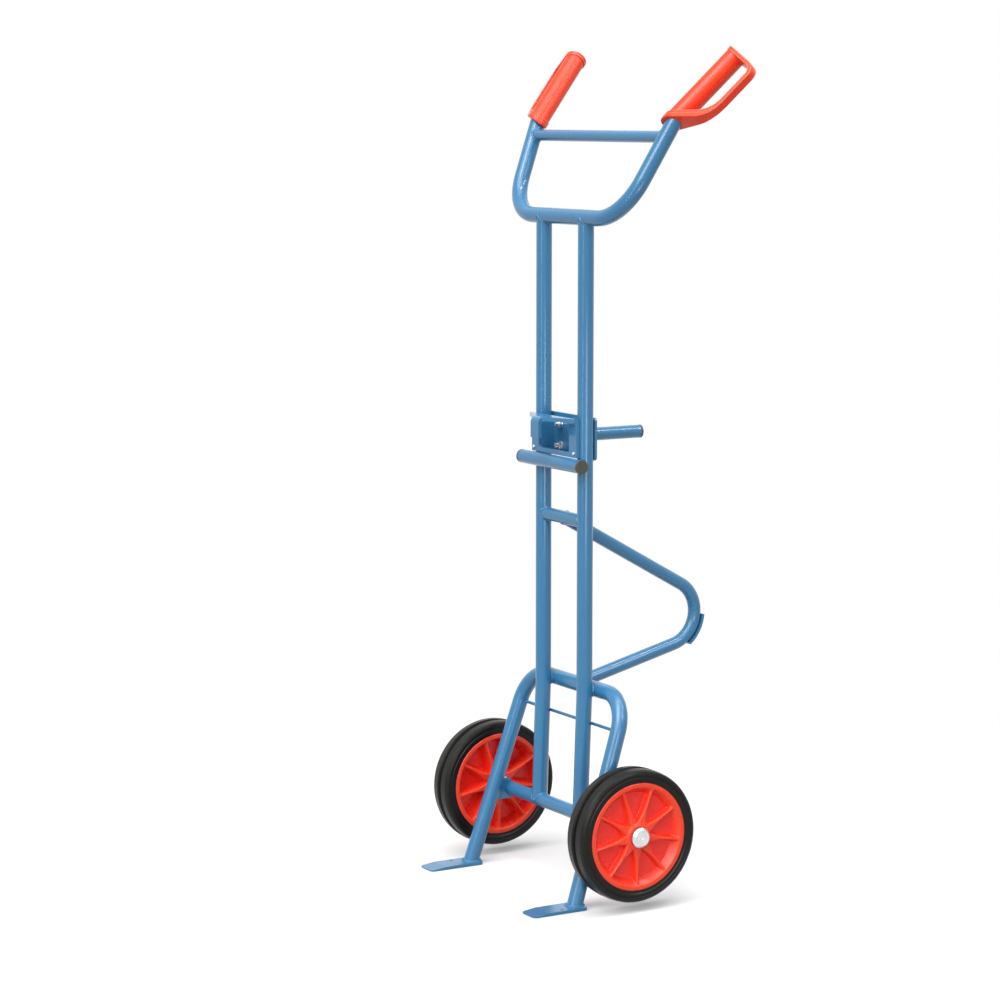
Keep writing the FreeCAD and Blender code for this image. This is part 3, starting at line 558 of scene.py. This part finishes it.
# Wheels: solid rubber tyres on red moulded rims with ribs on both faces, on roller bearings.
# The tyre is keyed to the rim; its tread has one wide groove and its sides have moulded rings.
# Each rim gets a skin that adds the fillets, draft and slender waists of the ribs.
def solid_rubber(name):
    """Moulded solid rubber: deep warm black, satin, with mould rings, a little dust on the tread
    and a fine skin, which is drawn coarser than real, to show."""
    material, tree, place = start_material(name)
    skin_size, dust_size, ring_pitch, ring_share = 0.0014, 0.012, 0.0030, 0.25
    shoulder, tread_edge = 0.1195, 0.1245
    centred, rings = turned_rings(tree, place, ring_pitch)
    split = add(tree, "ShaderNodeSeparateXYZ", {"Vector": centred})
    flat = add(tree, "ShaderNodeCombineXYZ", {"Y": split.outputs["Y"], "Z": split.outputs["Z"]})
    radius = add(tree, "ShaderNodeVectorMath", {0: flat.outputs["Vector"]}, operation="LENGTH")
    skin = add(tree, "ShaderNodeTexNoise",
               {"Vector": place, "Scale": 1 / skin_size, "Detail": 4.0})
    dust = add(tree, "ShaderNodeTexNoise",
               {"Vector": place, "Scale": 1 / dust_size, "Detail": 6.0, "Roughness": 0.65})
    tread = add(tree, "ShaderNodeMapRange",
                {"Value": radius.outputs["Value"], "From Min": shoulder, "From Max": tread_edge,
                 "To Min": 0.05, "To Max": 0.55})
    dusty = add(tree, "ShaderNodeMath", {0: tread.outputs["Result"], 1: dust.outputs["Fac"]},
                operation="MULTIPLY")
    tone = add(tree, "ShaderNodeMix",
               {mix_share: dusty.outputs[0], mix_from: linear("#0F0F0D"),
                mix_to: linear("#2C2B28")}, data_type="RGBA")
    height = add(tree, "ShaderNodeMath", {0: rings, 1: ring_share, 2: skin.outputs["Fac"]},
                 operation="MULTIPLY_ADD")
    bump = add(tree, "ShaderNodeBump",
               {"Strength": 0.18, "Distance": 0.0004, "Height": height.outputs[0]})
    matt = add(tree, "ShaderNodeMapRange",
               {"Value": dust.outputs["Fac"], "From Min": 0.3, "From Max": 0.7,
                "To Min": 0.26, "To Max": 0.40})
    shader = add(tree, "ShaderNodeBsdfPrincipled",
                 {"Base Color": tone.outputs[mixed], "Roughness": matt.outputs["Result"],
                  "IOR": 1.45, "Specular IOR Level": 0.22, "Normal": bump.outputs["Normal"]})
    add(tree, "ShaderNodeOutputMaterial", {"Surface": shader.outputs["BSDF"]})
    return material


def face_height(radius, turn, floor):
    """Height of a wheel's face above its middle plane: the turned section (hub, web, dish, lip),
    joined by a smooth maximum to nine ribs, each a level top that falls away beyond half its width,
    narrow between root and tip."""
    root_power, tip_power = 4, 12
    section = np.interp(radius,
                        [hub_bore, hub_edge, hub_radius, dish_radius, lip_radius, rim_radius],
                        [hub_half, hub_half, floor, floor, rim_half, rim_half])
    share = np.clip((radius - hub_radius) / (lip_radius - hub_radius), 0, 1)
    width = (rib_width + (rib_root - rib_width) * (1 - share) ** root_power
             + (rib_tip - rib_width) * share ** tip_power)
    step = 2 * np.pi / rib_count
    across = np.abs((turn + np.pi / 2 + step / 2) % step - step / 2) * radius
    fall = rib_round * np.logaddexp(0, (across - width / 2) / rib_round)
    ridge = np.maximum(rib_top - rib_draft * fall, floor - fillet)
    near = np.maximum(fillet - np.abs(section - ridge), 0) / fillet
    joined = np.maximum(section, ridge) + near ** 2 * fillet / 4
    return np.minimum(joined, np.maximum(section, rib_top))


def moulded_rim(name, side, finish):
    """A wheel's skin as one closed ring: the outer face from bore to rim, then the inner face back
    to the bore, each a height over radius and turn; the right wheel is the left one mirrored."""
    hub_rows, web_rows, dish_rows, lip_rows, columns = 4, 38, 13, 5, 720
    radius = np.concatenate([np.linspace(hub_bore, hub_edge, hub_rows),
                             np.linspace(hub_radius, dish_radius, web_rows),
                             np.linspace(dish_radius, lip_radius, dish_rows)[1:],
                             np.linspace(lip_radius, rim_radius, lip_rows)[1:]])
    turn = np.linspace(0, 2 * np.pi, columns, endpoint=False)
    outer = face_height(radius[:, None], turn[None, :], web_outer)
    inner = -face_height(radius[:, None], turn[None, :], -web_inner)
    height = np.vstack([outer, inner[::-1]])
    reach = np.concatenate([radius, radius[::-1]])[:, None]
    points = np.stack([side * (wheel_x + height), axle_y + reach * np.cos(turn),
                       axle_z + reach * np.sin(turn)], -1).reshape(-1, 3)
    outward_order = [0, 3, 2, 1]
    faces = closed_grid(*height.shape)[:, outward_order][:, ::side]
    word = "left" if side > 0 else "right"
    piece = new_piece(name, points, faces, finish, "wheel_" + word)
    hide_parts("rim_" + word)


coat(solid_rubber("solid_rubber_black"), "tyre_left", "tyre_right")
wheel_x = 0.2525
hub_bore = 0.0145
hub_radius = 0.0250
hub_bevel = 0.0012
hub_edge = hub_radius - hub_bevel
hub_half = 0.0290
rim_radius = 0.1005
rim_half = 0.0265
lip_radius = 0.0925
dish_radius = 0.0815
web_outer = 0.0125
web_inner = 0.0055
rib_count = 9
rib_top = 0.0245
rib_root = 0.0190
rib_width = 0.0040
rib_tip = 0.0090
rib_round = 0.0005
rib_draft = 5.0
fillet = 0.0040
# Painted shade: this colour darkens the rim's recessed web between the ribs; the plastic itself is
# one red.
rim_web_painted_shade = {"middle": wheel_x, "low": 0.0135, "high": 0.0225, "colour": "#EE2E1F"}
rim_red = moulded_red("moulded_rim_red", "#F44426", "#ED3E21", roughness=0.28, edge_radius=0.0010,
                      web=rim_web_painted_shade)
moulded_rim("rim_skin_left", 1, rim_red)
moulded_rim("rim_skin_right", -1, rim_red)
cage_black = moulded_black("moulded_cage_black", "#1E1E1E")
coat(cage_black, "bearing_cage_left", "bearing_cage_right")


# Studio: white paper underfoot, a soft sun from the front, and the camera at a viewer's height.
# Panels fill in the shade; two show in the gloss alone, as streaks, and one casts no shadow.
# The paper answers the eye with white but keeps the sun's shadow, and it bounces a grey light.
def seen_by_eye(tree):
    """One for rays from the camera, through clear matter or off gloss, nought for soft bounces."""
    path = add(tree, "ShaderNodeLightPath", {})
    clear = add(tree, "ShaderNodeMath",
                {0: path.outputs["Is Camera Ray"], 1: path.outputs["Is Transmission Ray"]},
                operation="MAXIMUM")
    seen = add(tree, "ShaderNodeMath", {0: clear.outputs[0], 1: path.outputs["Is Glossy Ray"]},
               operation="MAXIMUM")
    return seen.outputs[0]


def white_paper():
    """White background paper: a little its own white and the rest the light that falls on it, all
    white farther out; duller to soft bounces."""
    material, tree, place = start_material("white_paper")
    fibre_size, near_ring, far_ring = 0.9, 0.55, 1.60
    seen = seen_by_eye(tree)
    away = add(tree, "ShaderNodeVectorMath", {0: place}, operation="LENGTH")
    fade = add(tree, "ShaderNodeMapRange",
               {"Value": away.outputs["Value"], "From Min": near_ring, "From Max": far_ring,
                "To Min": 0.14, "To Max": 1.0})
    part = add(tree, "ShaderNodeMath", {0: seen, 1: fade.outputs["Result"]}, operation="MULTIPLY")
    fibre = add(tree, "ShaderNodeTexNoise",
                {"Vector": place, "Scale": 1 / fibre_size, "Detail": 2.0})
    tone = add(tree, "ShaderNodeMix",
               {mix_share: fibre.outputs["Fac"], mix_from: linear("#E9E9E9"),
                mix_to: linear("#ECECEC")}, data_type="RGBA")
    tone = add(tree, "ShaderNodeMix",
               {mix_share: seen, mix_from: linear("#8C8C8C"), mix_to: tone.outputs[mixed]},
               data_type="RGBA")
    matt = add(tree, "ShaderNodeBsdfDiffuse", {"Color": tone.outputs[mixed]})
    glow = add(tree, "ShaderNodeEmission", {"Color": linear("#FFFFFF"), "Strength": 1.0})
    both = add(tree, "ShaderNodeMixShader",
               {0: part.outputs[0], 1: matt.outputs["BSDF"], 2: glow.outputs["Emission"]})
    add(tree, "ShaderNodeOutputMaterial", {"Surface": both.outputs["Shader"]})
    return material


def floor_sheet(half, drop):
    """A flat square of paper just below floor level, as a grid of two steps each way."""
    spot = np.linspace(-half, half, 3)
    grid = np.stack(np.meshgrid(spot, spot), -1).reshape(-1, 2)
    points = np.column_stack([grid, np.full(len(grid), -drop)])
    here = np.arange(len(grid)).reshape(3, 3)
    corners = [here[:-1, :-1], here[:-1, 1:], here[1:, 1:], here[1:, :-1]]
    mesh = bpy.data.meshes.new("floor")
    mesh.from_pydata(points.tolist(), [], np.stack(corners, -1).reshape(-1, 4).tolist())
    sheet = bpy.data.objects.new("floor", mesh)
    bpy.context.scene.collection.objects.link(sheet)
    mesh.materials.append(white_paper())


floor_sheet(half=60.0, drop=0.0005)

world = bpy.data.worlds.new("studio")
bpy.context.scene.world = world
world.use_nodes = True
sky = world.node_tree
sky.nodes.clear()
power = add(sky, "ShaderNodeMapRange", {"Value": seen_by_eye(sky), "To Min": 0.18, "To Max": 1.0})
room = add(sky, "ShaderNodeBackground",
           {"Color": linear("#FFFFFF"), "Strength": power.outputs["Result"]})
add(sky, "ShaderNodeOutputWorld", {"Surface": room.outputs["Background"]})


def lamp(name, kind, place, aim, energy, **settings):
    """One lamp of a kind at a place, turned to its aim."""
    light = bpy.data.lights.new(name, kind)
    light.energy = energy
    for key, value in settings.items():
        setattr(light, key, value)
    holder = bpy.data.objects.new(name, light)
    holder.location = place
    holder.rotation_euler = (Vector(aim) - Vector(place)).to_track_quat("-Z", "Y").to_euler()
    bpy.context.scene.collection.objects.link(holder)
    return holder


def panel(name, place, aim, watts, width, height):
    """A lamp with a rectangular face."""
    return lamp(name, "AREA", place, aim, watts, shape="RECTANGLE", size=width, size_y=height)


middle = (0.0, 0.0, 0.8)
near_wheel = (0.28, -0.07, 0.15)
handle_middle = (0.0, 0.0, 1.36)
lamp("soft_sun", "SUN", (1.35, -2.5, 3.9), middle, energy=3.4, angle=1.20)
panel("top_strip", (0.9, 1.2, 3.4), middle, watts=40.0, width=0.18, height=2.4)
panel("overhead", (0.3, -0.2, 4.4), middle, watts=40.0, width=2.4, height=2.4)
panel("low_fill", (2.2, -0.7, 0.6), near_wheel, watts=8.5, width=0.8, height=0.6)
panel("left_strip", (1.2, -4.0, 1.2), middle, watts=16.0, width=0.25, height=2.2)
back_fill = panel("back_fill", (-3.2, 1.8, 2.2), middle, watts=60.0, width=2.0, height=2.0)
back_fill.data.use_shadow = False
back_fill.visible_glossy = False
front_box = panel("front_box", (1.31, -2.94, 4.06), handle_middle, watts=110.0,
                  width=1.4, height=3.0)
side_box = panel("side_box", (3.17, 1.11, 3.37), handle_middle, watts=50.0,
                 width=1.2, height=1.6)
for box in (front_box, side_box):
    box.visible_diffuse = False

film_width = 36.0
focal_widths = 2.95363
look_down = 0.13086
turn_left = 1.04314
lens = bpy.data.cameras.new("camera")
lens.sensor_width = film_width
lens.lens = film_width * focal_widths
lens.clip_end = 200.0
camera = bpy.data.objects.new("camera", lens)
camera.location = (4.73244, -2.95874, 1.46599)
camera.rotation_euler = (np.pi / 2 - look_down, 0.0, turn_left)
bpy.context.scene.collection.objects.link(camera)
bpy.context.scene.camera = camera
bpy.context.scene.view_settings.view_transform = "Standard"
